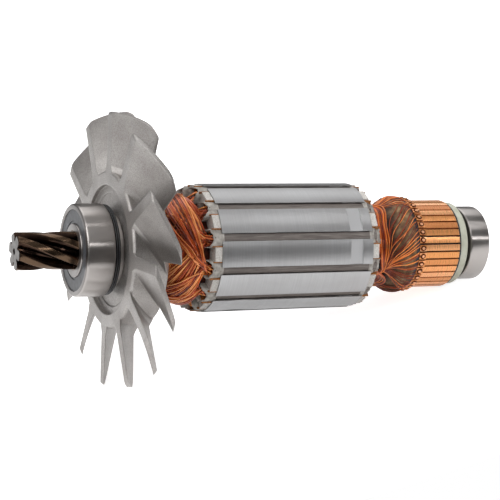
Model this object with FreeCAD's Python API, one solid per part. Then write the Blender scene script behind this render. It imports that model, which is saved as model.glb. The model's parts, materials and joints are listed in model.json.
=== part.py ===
"""Armature of a hand tool's universal motor, with its fan, pinion and two ball bearings.

The armature is first built straight, in millimetres. The shaft runs along +X from the pinion's
end face at x = 0 to the commutator end. Angles are in degrees about the shaft: 0 is up (+Z), and
they grow towards -Y. At the end the whole armature is laid down as it rests on a table, on two
fan blades and the rim of the rear bearing, with the front bearing's centre at the origin.
"""
import FreeCAD
import Part
import math
import os

V = FreeCAD.Vector
X_AXIS = V(1, 0, 0)
Y_AXIS = V(0, 1, 0)

# Shaft, and the pinion cut on its front end
pinion_length = 22.7
pinion_teeth = 6
pinion_tip_radius = 7.1
pinion_root_radius = 4.0
pinion_lead = 95.0
pinion_phase = -13.0
tooth_tip_half_angle = 10.0
tooth_root_half_angle = 24.0
tooth_waist_radius = 5.9
tooth_waist_half_angle = 18.5
pinion_tip_chamfer = 0.5
centre_hole_radius = 1.25
centre_hole_depth = 4.0
core_seat_radius = 8.2
commutator_seat_radius = 6.5
shaft_end_chamfer = 0.6

# Front bearing, a sealed deep-groove ball bearing 15 x 35 x 11
front_bore_radius = 7.5
front_outer_radius = 17.5
front_width = 11.0
front_ball_radius = 2.976
front_ball_count = 8

# Rear bearing, a sealed deep-groove ball bearing 10 x 30 x 9
rear_bore_radius = 5.0
rear_outer_radius = 15.0
rear_width = 9.0
rear_ball_radius = 2.381
rear_ball_count = 8

# What both bearings share
race_depth = 0.55
race_clearance = 0.04
ring_corner = 0.8
bore_corner = 0.4
seal_inset = 0.4
seal_thickness = 0.9
seal_step = 0.45
seal_lip_gap = 0.1
seal_lip_width = 0.9
seal_lip_drop = 0.25
cage_thickness = 0.5
cage_half_width = 0.8
cage_web_thickness = 1.0
cage_clearance = 0.06

# Rings between the front bearing and the fan
dust_gap = 0.25
dust_ring_thickness = 1.7
dust_ring_radius = 17.1
dust_ring_bead = 0.55
spacer_radius = 10.0
washer_radius = 14.1
washer_thickness = 2.5

# Fan, one die casting. Blade widths are those of the strip that each blade shows in front
fan_front = 35.8
fan_blades = 12
fan_phase = 8.7
fan_tip_radius = 52.0
blade_depth = 10.5
blade_sweep = 26.0
blade_tip_width = 4.0
blade_root_width = 4.6
blade_foot_width = 6.4
blade_foot_height = 2.0
blade_front_corner = 1.0
blade_rear_corner = 2.5
blade_root_flare = 5.0
hub_depth = 14.4
hub_front_radius = 29.8
hub_rear_radius = 28.0
hub_wall = 3.6
hub_corner = 0.8
recess_radius = 24.5
recess_step_radius = 21.5
recess_step_depth = 0.5
web_thickness = 3.2
boss_radius = 12.5

# Laminated core
core_start = 73.1
core_length = 63.6
core_radius = 24.8
core_bore_radius = 9.4
slot_count = 12
slot_phase = 21.5
slot_opening = 3.1
slot_lip = 0.8
slot_bottom_radius = 14.0
slot_bottom_rise = 1.1
slot_shoulder_drop = 0.7
slot_shoulder_width = 0.5
tooth_width = 6.0

# Balance cuts milled in the core
groove_width = 5.5
groove_depth = 0.6
groove_from_rear = 4.2
groove_angles = (66.0, 96.0)
flat_angle = 156.5
flat_start = 4.0
flat_length = 17.0
flat_depth = 0.7

# Insulation on the core
tube_overhang = 6.0
end_plate_thickness = 2.8
end_plate_hub_gap = 0.25
end_plate_finger_gap = 0.3
end_plate_drop = 0.6
liner_thickness = 0.35
liner_front_overhang = 4.6
liner_rear_overhang = 4.2
wedge_thickness = 0.8
wedge_side_gap = 0.24
wedge_front_overhang = 5.4
wedge_rear_overhang = 4.6
conductor_gap = 0.05

# Coil heads: each bundle leaves one slot high and enters another one low
coil_pitch = 5
front_head_length = 14.6
rear_head_length = 9.6
head_top_drop = 3.8
head_bottom_rise = 3.8
head_top_fall = 1.482
head_layer_step = 3.51
front_layer_gap = 0.7
rear_layer_gap = 1.6
head_straight = 1.0
head_shoulder = 0.36
head_crossing = 0.24
head_spans = 10
bundle_sides = 6

# Cone of varnished lead wires
cone_start = 151.6
cone_length = 9.4
cone_neck_radius = 13.2
cone_rim_radius = 19.5
cone_rim_start = 4.4
cone_end_radius = 18.0
cone_bulge = 0.6

# Commutator
commutator_gap = 0.2
bar_count = 36
bar_phase = 6.2
bar_length = 19.1
bar_radius = 17.7
bar_thickness = 2.1
bar_slot_width = 0.7
bar_end_chamfer = 0.4
riser_length = 3.0
riser_radius = 18.6
riser_slot_width = 0.9
riser_slot_depth = 1.0
lead_side_gap = 0.02
lead_rise = 0.4
moulding_flange = 0.7
moulding_flange_radius = 17.2

# Insulating ring and rear bearing's shoulder
ring_length = 3.5
ring_radius = 16.7
ring_edge = 0.5
rear_shoulder_gap = 2.5

# How it lies: the turn about the shaft that brings two blades to the table
rest_turn = -14.2
rest_steps = 20

# How far cutting shapes reach past what they cut
cut_margin = 1.0

# Stations along the shaft, from the sizes above
front_seat_start = pinion_length
front_bearing_end = front_seat_start + front_width
dust_ring_start = front_bearing_end + dust_gap
dust_ring_end = dust_ring_start + dust_ring_thickness
washer_end = dust_ring_end + washer_thickness
fan_rear = fan_front + hub_depth
core_end = core_start + core_length
core_seat_end = cone_start
cone_end = cone_start + cone_length
bar_start = cone_end + commutator_gap
bar_end = bar_start + bar_length
moulding_end = bar_end + moulding_flange
ring_end = moulding_end + ring_length
rear_seat_start = ring_end + rear_shoulder_gap
shaft_end = rear_seat_start + rear_width

# Radii of the coil heads' two layers, between the wedges and the insulation tube
head_top_radius = core_radius - head_top_drop
head_bottom_low_radius = core_bore_radius + head_bottom_rise
head_top_low_radius = head_top_radius - head_top_fall
head_bottom_radius = head_top_low_radius - head_layer_step
front_bundle_radius = (head_layer_step - front_layer_gap) / 2
rear_bundle_radius = (head_layer_step - rear_layer_gap) / 2


def turned(shape, angle):
    """The shape turned about the shaft."""
    copy = shape.copy()
    copy.rotate(V(0, 0, 0), X_AXIS, angle)
    return copy


def pattern(shape, count, phase):
    """Copies of the shape, evenly spaced about the shaft."""
    return [turned(shape, phase + 360.0 * k / count) for k in range(count)]


def lathe(profile, angle=360.0):
    """Solid turned from a closed outline of (x, radius) points."""
    points = [V(x, 0, radius) for x, radius in profile]
    face = Part.Face(Part.makePolygon(points + points[:1]))
    return face.revolve(V(0, 0, 0), X_AXIS, angle)


def tube(start, end, inner, outer):
    """Plain ring about the shaft."""
    return lathe([(start, inner), (end, inner), (end, outer), (start, outer)])


def round_rims(shape, radius, size):
    """Fillet the circles of one radius."""
    rims = [
        edge for edge in shape.Edges
        if isinstance(edge.Curve, Part.Circle) and abs(edge.Curve.Radius - radius) < 1e-6
    ]
    return shape.makeFillet(size, rims)


def twisted(face, length, lead):
    """Solid swept from a face in the plane x = 0 along the shaft, turning once in each lead."""
    guide_radius = 10.0
    spine = Part.Wire(Part.makeLine(V(0, 0, 0), V(length, 0, 0)))
    guide = Part.Wire(Part.makeHelix(lead, length, guide_radius))
    guide.rotate(V(0, 0, 0), Y_AXIS, 90)
    sweep = Part.BRepOffsetAPI.MakePipeShell(spine)
    sweep.setAuxiliarySpine(guide, True, 0)
    sweep.add(face.OuterWire, False, False)
    sweep.build()
    sweep.makeSolid()
    return sweep.shape()


def polar(radius, angle, x=0.0):
    """Point at a radius and an angle about the shaft."""
    return V(x, -radius * math.sin(math.radians(angle)), radius * math.cos(math.radians(angle)))


def pinion_face():
    """Section of the pinion across the shaft."""
    edges = []
    pitch = 360.0 / pinion_teeth
    for k in range(pinion_teeth):
        middle = k * pitch
        foot = polar(pinion_root_radius, middle - tooth_root_half_angle)
        waist = polar(tooth_waist_radius, middle - tooth_waist_half_angle)
        left = polar(pinion_tip_radius, middle - tooth_tip_half_angle)
        top = polar(pinion_tip_radius, middle)
        right = polar(pinion_tip_radius, middle + tooth_tip_half_angle)
        far_waist = polar(tooth_waist_radius, middle + tooth_waist_half_angle)
        far_foot = polar(pinion_root_radius, middle + tooth_root_half_angle)
        gap = polar(pinion_root_radius, middle + pitch / 2)
        next_foot = polar(pinion_root_radius, middle + pitch - tooth_root_half_angle)
        edges.append(Part.Arc(foot, waist, left).toShape())
        edges.append(Part.Arc(left, top, right).toShape())
        edges.append(Part.Arc(right, far_waist, far_foot).toShape())
        edges.append(Part.Arc(far_foot, gap, next_foot).toShape())
    return Part.Face(Part.Wire(edges))


def make_pinion():
    """Helical teeth, chamfered at the end face and drilled with a centre hole."""
    teeth = turned(twisted(pinion_face(), pinion_length, pinion_lead), pinion_phase)
    envelope = lathe([
        (0, 0),
        (pinion_length, 0),
        (pinion_length, pinion_tip_radius + cut_margin),
        (pinion_tip_chamfer + cut_margin, pinion_tip_radius + cut_margin),
        (0, pinion_tip_radius - pinion_tip_chamfer),
    ])
    drill = lathe([
        (0, 0),
        (0, centre_hole_radius),
        (centre_hole_depth, centre_hole_radius),
        (centre_hole_depth + centre_hole_radius, 0),
    ])
    return teeth.common(envelope).cut(drill)


def make_shaft():
    """Stepped shaft with the pinion on its front end."""
    body = lathe([
        (front_seat_start, 0),
        (front_seat_start, front_bore_radius),
        (fan_rear, front_bore_radius),
        (fan_rear, core_seat_radius),
        (core_seat_end, core_seat_radius),
        (core_seat_end, commutator_seat_radius),
        (rear_seat_start, commutator_seat_radius),
        (rear_seat_start, rear_bore_radius),
        (shaft_end - shaft_end_chamfer, rear_bore_radius),
        (shaft_end, rear_bore_radius - shaft_end_chamfer),
        (shaft_end, 0),
    ])
    return body.fuse(make_pinion())


def bearing_outer_ring(start, width, pitch_radius, ball_radius, outer_radius):
    """Outer ring with its race and a seat for each seal."""
    land = pitch_radius + ball_radius - race_depth
    seat = land + seal_step
    seat_depth = seal_inset + seal_thickness
    ring = lathe([
        (start, seat),
        (start + seat_depth, seat),
        (start + seat_depth, land),
        (start + width - seat_depth, land),
        (start + width - seat_depth, seat),
        (start + width, seat),
        (start + width, outer_radius),
        (start, outer_radius),
    ])
    ring = round_rims(ring, outer_radius, ring_corner)
    race = Part.makeTorus(pitch_radius, ball_radius + race_clearance, V(start + width / 2, 0, 0), X_AXIS)
    return ring.cut(race)


def bearing_inner_ring(start, width, pitch_radius, ball_radius, bore_radius):
    """Inner ring with its race."""
    ring = tube(start, start + width, bore_radius, pitch_radius - ball_radius + race_depth)
    ring = round_rims(ring, bore_radius, bore_corner)
    race = Part.makeTorus(pitch_radius, ball_radius + race_clearance, V(start + width / 2, 0, 0), X_AXIS)
    return ring.cut(race)


def bearing_balls(start, width, pitch_radius, ball_radius, count):
    """Ring of balls, each a solid of its own."""
    ball = Part.makeSphere(ball_radius)
    ball.translate(V(start + width / 2, 0, pitch_radius))
    return pattern(ball, count, 0)


def bearing_cage(start, width, pitch_radius, ball_radius, count):
    """Ribbon cage: a flat ring that bulges round each ball."""
    middle = start + width / 2
    inner = pitch_radius - cage_half_width
    outer = pitch_radius + cage_half_width
    pocket_radius = ball_radius + cage_clearance
    pocket = Part.makeSphere(pocket_radius)
    pocket.translate(V(middle, 0, pitch_radius))
    shell = Part.makeSphere(pocket_radius + cage_thickness)
    shell.translate(V(middle, 0, pitch_radius))
    band = tube(start, start + width, inner, outer)
    web = tube(middle - cage_web_thickness / 2, middle + cage_web_thickness / 2, inner, outer)
    bulges = [band.common(one) for one in pattern(shell, count, 0)]
    return web.fuse(bulges).cut(pattern(pocket, count, 0)).removeSplitter()


def bearing_seal(face, inward, pitch_radius, ball_radius):
    """Rubber seal, set back from the bearing's face, with a thin lip at the inner ring."""
    lip = pitch_radius - ball_radius + race_depth + seal_lip_gap
    seat = pitch_radius + ball_radius - race_depth + seal_step
    front = face + inward * seal_inset
    back = front + inward * seal_thickness
    return lathe([
        (front + inward * seal_lip_drop, lip),
        (back, lip),
        (back, seat),
        (front, seat),
        (front, lip + seal_lip_width),
        (front + inward * seal_lip_drop, lip + seal_lip_width),
    ])


def make_bearing(name, start, width, bore_radius, outer_radius, ball_radius, ball_count):
    """All the pieces of one bearing, by node name."""
    pitch_radius = (bore_radius + outer_radius) / 2
    return {
        name + "_outer_ring": bearing_outer_ring(start, width, pitch_radius, ball_radius, outer_radius),
        name + "_inner_ring": bearing_inner_ring(start, width, pitch_radius, ball_radius, bore_radius),
        name + "_balls": bearing_balls(start, width, pitch_radius, ball_radius, ball_count),
        name + "_cage": bearing_cage(start, width, pitch_radius, ball_radius, ball_count),
        name + "_front_seal": bearing_seal(start, 1, pitch_radius, ball_radius),
        name + "_rear_seal": bearing_seal(start + width, -1, pitch_radius, ball_radius),
    }


def make_spacer_bush():
    """Steel bush between the front bearing and the washer, which carries the dust ring."""
    return tube(front_bearing_end, dust_ring_end, front_bore_radius, spacer_radius)


def make_dust_ring():
    """Black rubber ring behind the front bearing, with a bead round each edge of its rim."""
    ring = tube(dust_ring_start, dust_ring_end, spacer_radius, dust_ring_radius)
    ring = round_rims(ring, dust_ring_radius, dust_ring_bead)
    middle = (dust_ring_start + dust_ring_end) / 2
    groove = Part.makeTorus(dust_ring_radius, dust_ring_bead / 2, V(middle, 0, 0), X_AXIS)
    return ring.cut(groove)


def make_washer():
    """Steel washer that stands in the fan's recess."""
    return tube(dust_ring_end, washer_end, front_bore_radius, washer_radius)


def make_hub():
    """Turned body of the fan: recessed front, hollow back, boss on the shaft."""
    floor = washer_end
    step = floor - recess_step_depth
    web_back = floor + web_thickness
    hub = lathe([
        (floor, front_bore_radius),
        (fan_rear, front_bore_radius),
        (fan_rear, boss_radius),
        (web_back, boss_radius),
        (web_back, hub_rear_radius - hub_wall),
        (fan_rear, hub_rear_radius - hub_wall),
        (fan_rear, hub_rear_radius),
        (fan_front + hub_corner, hub_front_radius),
        (fan_front, hub_front_radius - hub_corner),
        (fan_front, recess_radius),
        (step, recess_radius),
        (step, recess_step_radius),
        (floor, recess_step_radius),
    ])
    return hub


def blade_envelope():
    """Turned body that trims the blades to the outline of the casting."""
    front = fan_front
    tip = fan_tip_radius
    tail = fan_front + blade_depth
    lean = math.sqrt(0.5)
    front_arc = Part.Arc(
        V(front, 0, tip - blade_front_corner),
        V(front + blade_front_corner * (1 - lean), 0, tip - blade_front_corner * (1 - lean)),
        V(front + blade_front_corner, 0, tip),
    ).toShape()
    rear_arc = Part.Arc(
        V(tail - blade_rear_corner, 0, tip),
        V(tail - blade_rear_corner * (1 - lean), 0, tip - blade_rear_corner * (1 - lean)),
        V(tail, 0, tip - blade_rear_corner),
    ).toShape()
    root = hub_rear_radius - hub_wall / 2
    corners = [
        V(tail, 0, tip - blade_rear_corner),
        V(tail, 0, hub_rear_radius + blade_root_flare),
        V(fan_rear, 0, hub_rear_radius),
        V(fan_rear, 0, root),
        V(front, 0, root),
        V(front, 0, tip - blade_front_corner),
    ]
    lines = [Part.makeLine(a, b) for a, b in zip(corners, corners[1:])]
    top = Part.makeLine(V(front + blade_front_corner, 0, tip), V(tail - blade_rear_corner, 0, tip))
    outline = Part.Wire(Part.__sortEdges__([front_arc, top, rear_arc] + lines))
    return Part.Face(outline).revolve(V(0, 0, 0), X_AXIS, 360)


def blade_strip():
    """Section of a blade across the shaft, pointing up, with a flared foot at the hub."""
    outline = [
        (hub_rear_radius - hub_wall / 2, blade_foot_width),
        (hub_front_radius, blade_foot_width),
        (hub_front_radius + blade_foot_height, blade_root_width),
        (fan_tip_radius + cut_margin, blade_tip_width),
    ]
    left = [V(0, -width / 2, radius) for radius, width in outline]
    right = [V(0, width / 2, radius) for radius, width in reversed(outline)]
    return Part.Face(Part.makePolygon(left + right + left[:1]))


def make_fan():
    """Hub with helicoid blades, each turning about the shaft as it runs back."""
    lead = blade_depth * 360 / blade_sweep
    blade = twisted(blade_strip(), hub_depth, lead)
    blade.translate(V(fan_front, 0, 0))
    blade = blade.common(blade_envelope())
    return make_hub().fuse(pattern(blade, fan_blades, fan_phase))


def slot_half_width(radius):
    """Half the slot's width at one radius, beside a tooth with parallel sides."""
    half_pitch = math.pi / slot_count
    return radius * math.tan(half_pitch) - tooth_width / 2 / math.cos(half_pitch)


def slot_pocket():
    """Section of one slot under the tooth tips, pointing up."""
    top = core_radius - slot_lip
    side_top = top - slot_shoulder_drop
    wide = slot_half_width(side_top)
    turn_radius = slot_bottom_radius + slot_bottom_rise
    narrow = slot_half_width(turn_radius)
    flat = wide - slot_shoulder_width
    left = [V(0, -narrow, turn_radius), V(0, -wide, side_top), V(0, -flat, top)]
    right = [V(0, flat, top), V(0, wide, side_top), V(0, narrow, turn_radius)]
    points = left + right
    edges = [Part.makeLine(a, b) for a, b in zip(points, points[1:])]
    edges.append(Part.Arc(right[-1], V(0, 0, slot_bottom_radius), left[0]).toShape())
    return Part.Face(Part.Wire(edges))


def slot_band(low, high, width):
    """Flat section across one slot, between two heights above the shaft."""
    corners = [V(0, -width / 2, low), V(0, width / 2, low), V(0, width / 2, high), V(0, -width / 2, high)]
    return Part.Face(Part.makePolygon(corners + corners[:1]))


def run_along(face, start, end):
    """Straight bar with a given section between two stations."""
    bar = face.extrude(V(end - start, 0, 0))
    bar.translate(V(start, 0, 0))
    return bar


def make_core():
    """Laminated stack as one solid, with its slots and the balance cuts."""
    core = tube(core_start, core_end, core_bore_radius, core_radius)
    start = core_start - cut_margin
    end = core_end + cut_margin
    mouth_foot = core_radius - slot_lip - slot_shoulder_drop
    mouth = slot_band(mouth_foot, core_radius + cut_margin, slot_opening)
    slot = run_along(slot_pocket(), start, end).fuse(run_along(mouth, start, end))
    core = core.cut(pattern(slot, slot_count, slot_phase))
    return core.cut(balance_cuts())


def balance_cuts():
    """Metal milled off the core to balance it: a groove in two teeth and a scoop in another."""
    groove_end = core_end - groove_from_rear
    face = slot_band(core_radius - groove_depth, core_radius + cut_margin, tooth_width * 2)
    groove = run_along(face, groove_end - groove_width, groove_end)
    middle = core_start + flat_start + flat_length / 2
    cutter_radius = (flat_length ** 2 / 4 + flat_depth ** 2) / (2 * flat_depth)
    cutter = Part.makeCylinder(cutter_radius, tooth_width * 2, V(0, -tooth_width, 0), Y_AXIS)
    cutter.translate(V(middle, 0, core_radius - flat_depth + cutter_radius))
    return [turned(groove, angle) for angle in groove_angles] + [turned(cutter, flat_angle)]


def make_end_plate(start):
    """Fibre plate against one end of the core, with a finger over each tooth."""
    end = start + end_plate_thickness
    plate = tube(start, end, core_bore_radius, slot_bottom_radius - end_plate_hub_gap)
    inside = (core_bore_radius + slot_bottom_radius) / 2
    finger_width = tooth_width - 2 * end_plate_finger_gap
    finger = run_along(slot_band(inside, core_radius - end_plate_drop, finger_width), start, end)
    tooth_phase = slot_phase + 180 / slot_count
    return plate.fuse(pattern(finger, slot_count, tooth_phase)).removeSplitter()


def make_insulation_tube():
    """Tube that keeps the core and its coils off the shaft."""
    start = core_start - end_plate_thickness - tube_overhang
    end = core_end + end_plate_thickness + tube_overhang
    return tube(start, end, core_seat_radius, core_bore_radius)


def wedge_width():
    """Width of the strip that closes a slot, a little less than the flat under the tooth tips."""
    wide = slot_half_width(core_radius - slot_lip - slot_shoulder_drop)
    return 2 * (wide - slot_shoulder_width - wedge_side_gap)


def wedge_face():
    """Section of the strip that closes a slot, just under the tooth tips."""
    top = core_radius - slot_lip
    return slot_band(top - wedge_thickness, top, wedge_width())


def make_slot_liners():
    """Paper lining of each slot, open where the wedge lies."""
    start = core_start - liner_front_overhang
    end = core_end + liner_rear_overhang
    pocket = slot_pocket()
    inside = pocket.makeOffset2D(-liner_thickness)
    lining = pocket.cut(inside).cut(wedge_face())
    lining = lining.cut(wedge_gap_face())
    return pattern(run_along(lining.Faces[0], start, end), slot_count, slot_phase)


def wedge_gap_face():
    """Section of the thin layer just under the wedge."""
    bottom = core_radius - slot_lip - wedge_thickness
    return slot_band(bottom - liner_thickness, bottom, wedge_width())


def make_slot_wedges():
    """Strips that close the slots and stick out at both ends."""
    start = core_start - wedge_front_overhang
    end = core_end + wedge_rear_overhang
    return pattern(run_along(wedge_face(), start, end), slot_count, slot_phase)


def make_slot_conductors():
    """Packed wires inside each slot, as one bar."""
    start = core_start - liner_front_overhang
    end = core_end + liner_rear_overhang
    inside = slot_pocket().makeOffset2D(-liner_thickness - conductor_gap)
    wedge_bottom = core_radius - slot_lip - wedge_thickness
    copper = inside.common(slot_band(0, wedge_bottom - conductor_gap, core_radius))
    return pattern(run_along(copper.Faces[0], start, end), slot_count, slot_phase)


def eased(share):
    """0 to 1 along a smooth S curve, for a share from 0 to 1."""
    share = min(max(share, 0.0), 1.0)
    return share * share * (3 - 2 * share)


def head_point(share, nose):
    """Point of a coil head's centre line: angle, distance out and radius, for a share of its way."""
    angle = share * coil_pitch * 360.0 / slot_count
    out = head_straight + (nose - head_straight) * math.sin(math.pi * share)
    top = head_top_radius - (head_top_radius - head_top_low_radius) * eased(share / head_shoulder)
    fall = eased((1 - share) / head_shoulder)
    bottom = head_bottom_radius - (head_bottom_radius - head_bottom_low_radius) * fall
    change = eased((share - 0.5) / head_crossing + 0.5)
    return angle, out, top + (bottom - top) * change


def coil_head(start, reach, bundle_radius):
    """One bundle that leaves a slot high, runs round the shaft and enters another slot low.

    reach is how far it stands out along +X, and is negative at the front.
    """
    outward = math.copysign(1, reach)
    nose = abs(reach) - bundle_radius
    places = [head_point(k / head_spans, nose) for k in range(head_spans + 1)]
    places.insert(0, (places[0][0], 0.0, places[0][2]))
    places.append((places[-1][0], 0.0, places[-1][2]))
    points = [polar(radius, angle, start + outward * out) for angle, out, radius in places]
    sections = []
    for k, point in enumerate(points):
        along = points[min(k + 1, len(points) - 1)] - points[max(k - 1, 0)]
        if k in (0, len(points) - 1):
            along = V(outward if k == 0 else -outward, 0, 0)
        along.normalize()
        across = along.cross(V(0, point.y, point.z)).normalize()
        up = across.cross(along)
        corners = []
        for n in range(bundle_sides):
            turn = 2 * math.pi * n / bundle_sides
            corners.append(point + (across * math.cos(turn) + up * math.sin(turn)) * bundle_radius)
        sections.append(Part.makePolygon(corners + corners[:1]))
    return Part.makeLoft(sections, True, True)


def make_coil_heads(start, reach, bundle_radius):
    """Ring of bundles that pass over and under each other like a basket."""
    return pattern(coil_head(start, reach, bundle_radius), slot_count, slot_phase)


def make_lead_cone():
    """Cone of lead wires that varnish and string have made into one body."""
    rim_start = cone_start + cone_rim_start
    outline = [
        V(cone_start, 0, commutator_seat_radius),
        V(cone_start, 0, cone_neck_radius),
        V(rim_start, 0, cone_rim_radius),
        V(cone_end, 0, cone_end_radius),
        V(cone_end, 0, commutator_seat_radius),
    ]
    neck_middle = (cone_start + rim_start) / 2
    neck_radius = (cone_neck_radius + cone_rim_radius) / 2
    bulge = V(neck_middle - cone_bulge, 0, neck_radius + cone_bulge)
    crown = V((rim_start + cone_end) / 2, 0, cone_rim_radius)
    edges = [
        Part.makeLine(outline[0], outline[1]),
        Part.Arc(outline[1], bulge, outline[2]).toShape(),
        Part.Arc(outline[2], crown, outline[3]).toShape(),
        Part.makeLine(outline[3], outline[4]),
        Part.makeLine(outline[4], outline[0]),
    ]
    return Part.Face(Part.Wire(edges)).revolve(V(0, 0, 0), X_AXIS, 360)


def make_commutator_bars():
    """Copper bars with a slotted riser at the front end of each."""
    foot = bar_radius - bar_thickness
    pitch = 360.0 / bar_count
    bar_angle = pitch - math.degrees(bar_slot_width / bar_radius)
    bar = lathe([
        (bar_start, foot),
        (bar_end, foot),
        (bar_end, bar_radius - bar_end_chamfer),
        (bar_end - bar_end_chamfer, bar_radius),
        (bar_start + riser_length, bar_radius),
        (bar_start + riser_length, riser_radius),
        (bar_start, riser_radius),
    ], bar_angle)
    bar = turned(bar, -bar_angle / 2)
    slot = slot_band(riser_radius - riser_slot_depth, riser_radius + cut_margin, riser_slot_width)
    bar = bar.cut(run_along(slot, bar_start - cut_margin, bar_start + riser_length))
    return pattern(bar, bar_count, bar_phase)


def make_commutator_leads():
    """Wire ends that run from the cone into the risers."""
    width = riser_slot_width - 2 * lead_side_gap
    section = slot_band(riser_radius - riser_slot_depth, riser_radius + lead_rise, width)
    lead = run_along(section, cone_end, bar_start + riser_length)
    return pattern(lead, bar_count, bar_phase)


def make_commutator_moulding():
    """Moulded body under the bars, with a flange behind them."""
    foot = bar_radius - bar_thickness
    return lathe([
        (bar_start, commutator_seat_radius),
        (moulding_end, commutator_seat_radius),
        (moulding_end, moulding_flange_radius),
        (bar_end, moulding_flange_radius),
        (bar_end, foot),
        (bar_start, foot),
    ])


def make_insulating_ring():
    """Cream ring behind the commutator."""
    ring = tube(moulding_end, ring_end, commutator_seat_radius, ring_radius)
    return round_rims(ring, ring_radius, ring_edge)


def make_armature():
    """Every piece of the straight armature, by node name."""
    front_plate_start = core_start - end_plate_thickness
    front_head_start = core_start - liner_front_overhang
    rear_head_start = core_end + liner_rear_overhang
    pieces = {
        "shaft": make_shaft(),
        "spacer_bush": make_spacer_bush(),
        "dust_ring": make_dust_ring(),
        "washer": make_washer(),
        "fan": make_fan(),
        "insulation_tube": make_insulation_tube(),
        "lamination_core": make_core(),
        "front_end_plate": make_end_plate(front_plate_start),
        "rear_end_plate": make_end_plate(core_end),
        "slot_liners": make_slot_liners(),
        "slot_wedges": make_slot_wedges(),
        "slot_conductors": make_slot_conductors(),
        "front_coil_heads": make_coil_heads(front_head_start, -front_head_length, front_bundle_radius),
        "rear_coil_heads": make_coil_heads(rear_head_start, rear_head_length, rear_bundle_radius),
        "lead_cone": make_lead_cone(),
        "commutator_leads": make_commutator_leads(),
        "commutator_bars": make_commutator_bars(),
        "commutator_moulding": make_commutator_moulding(),
        "insulating_ring": make_insulating_ring(),
    }
    pieces.update(make_bearing(
        "front_bearing", front_seat_start, front_width, front_bore_radius,
        front_outer_radius, front_ball_radius, front_ball_count,
    ))
    pieces.update(make_bearing(
        "rear_bearing", rear_seat_start, rear_width, rear_bore_radius,
        rear_outer_radius, rear_ball_radius, rear_ball_count,
    ))
    return pieces


def rest_tilt():
    """Angle of the shaft to the table when a blade's edge and the rear bearing's rim touch it."""
    lead = blade_depth * 360 / blade_sweep
    rim_station = shaft_end - ring_corner
    rim_radius = rear_outer_radius - ring_corner
    half_strip = math.degrees(math.asin(blade_tip_width / 2 / fan_tip_radius))
    tilt = 0.0
    for _ in range(rest_steps):
        past_bottom = math.asin(lead / (2 * math.pi) * math.tan(tilt) / fan_tip_radius)
        lowest = math.degrees(math.pi + past_bottom)
        phase = (lowest + half_strip - fan_phase - rest_turn) % (360 / fan_blades)
        station = fan_front + lead * phase / 360
        drop = fan_tip_radius * math.cos(past_bottom) - rim_radius
        tilt = math.atan((drop - ring_corner / math.cos(tilt)) / (rim_station - station))
    return tilt


def lay_down(shape):
    """Turn and tilt the straight armature to its rest, about the front bearing's centre."""
    placed = turned(shape, rest_turn)
    placed.translate(V(-front_seat_start - front_width / 2, 0, 0))
    placed.rotate(V(0, 0, 0), Y_AXIS, math.degrees(rest_tilt()))
    return placed


os.makedirs("parts", exist_ok=True)
for node, piece in make_armature().items():
    solids = piece if isinstance(piece, list) else [piece]
    placed = [lay_down(solid) for solid in solids]
    shape = placed[0] if len(placed) == 1 else Part.makeCompound(placed)
    shape.exportStep(os.path.join("parts", node + ".step"))
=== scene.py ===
"""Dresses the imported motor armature: materials, turned rings, wires, papers, floor, light and camera.

Lengths are in millimetres in the straight frame of part.py: the shaft lies along +X from the
pinion's end face, and angles in degrees about it start at the top and grow towards -Y. The matrix
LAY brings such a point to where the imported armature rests, in metres.
"""
import json
import math
import random

import bpy
from mathutils import Matrix, Vector, noise


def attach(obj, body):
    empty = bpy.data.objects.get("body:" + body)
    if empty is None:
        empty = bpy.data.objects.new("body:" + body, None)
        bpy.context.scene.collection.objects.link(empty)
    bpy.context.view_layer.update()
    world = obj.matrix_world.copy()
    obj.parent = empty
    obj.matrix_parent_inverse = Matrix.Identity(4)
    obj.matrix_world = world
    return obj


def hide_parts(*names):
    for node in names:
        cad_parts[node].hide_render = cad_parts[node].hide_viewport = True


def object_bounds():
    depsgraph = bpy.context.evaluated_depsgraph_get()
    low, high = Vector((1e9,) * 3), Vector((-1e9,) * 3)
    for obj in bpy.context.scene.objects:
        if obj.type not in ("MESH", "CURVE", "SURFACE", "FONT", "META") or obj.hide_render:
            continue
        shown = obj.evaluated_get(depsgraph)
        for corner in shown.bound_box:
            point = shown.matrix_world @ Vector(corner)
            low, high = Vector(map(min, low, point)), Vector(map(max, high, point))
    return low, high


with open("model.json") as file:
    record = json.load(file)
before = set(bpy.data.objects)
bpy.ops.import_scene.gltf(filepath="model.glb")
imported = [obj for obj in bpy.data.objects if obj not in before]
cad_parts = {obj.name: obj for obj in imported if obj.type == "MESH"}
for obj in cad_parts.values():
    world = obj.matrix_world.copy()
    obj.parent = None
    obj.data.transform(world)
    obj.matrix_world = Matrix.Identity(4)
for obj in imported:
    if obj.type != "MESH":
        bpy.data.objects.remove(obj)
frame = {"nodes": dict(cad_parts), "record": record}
cad_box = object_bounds()
nodes = frame["nodes"]

# The straight frame of part.py
METRES = 0.001
REST_TURN = -14.2
BEARING_CENTRE = 28.2
PINION_END = 22.7
CORE_START = 73.1
CORE_END = 136.7
SLOTS = 12
SLOT_PHASE = 21.5
SLOT_PITCH = 360 / SLOTS
SLOT_BOTTOM = 15.0
COIL_SPAN = 5 * SLOT_PITCH
BARS = 36
BAR_PHASE = 6.2
RISER_START = 161.2
RISER_RADIUS = 18.6
CORE_RADIUS = 24.8
WEDGE_TOP = 24.0
# Stations and lowest radius of the balance cuts in the core
BALANCE_CUT = (126.9, 132.6)
BALANCE_CUT_BOTTOM = 22.5
# Radius from which the pinion's teeth turn lighter towards their tips, for wear and as a painted
# highlight
TOOTH_WEAR_AND_HIGHLIGHT_FROM = 6.3
# Stations where the painted shade on the lead cone next to the windings begins to fade out, and where
# its dark rim begins
CONE_SHADE_FADES = 150.0
CONE_RIM = 158.9

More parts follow.
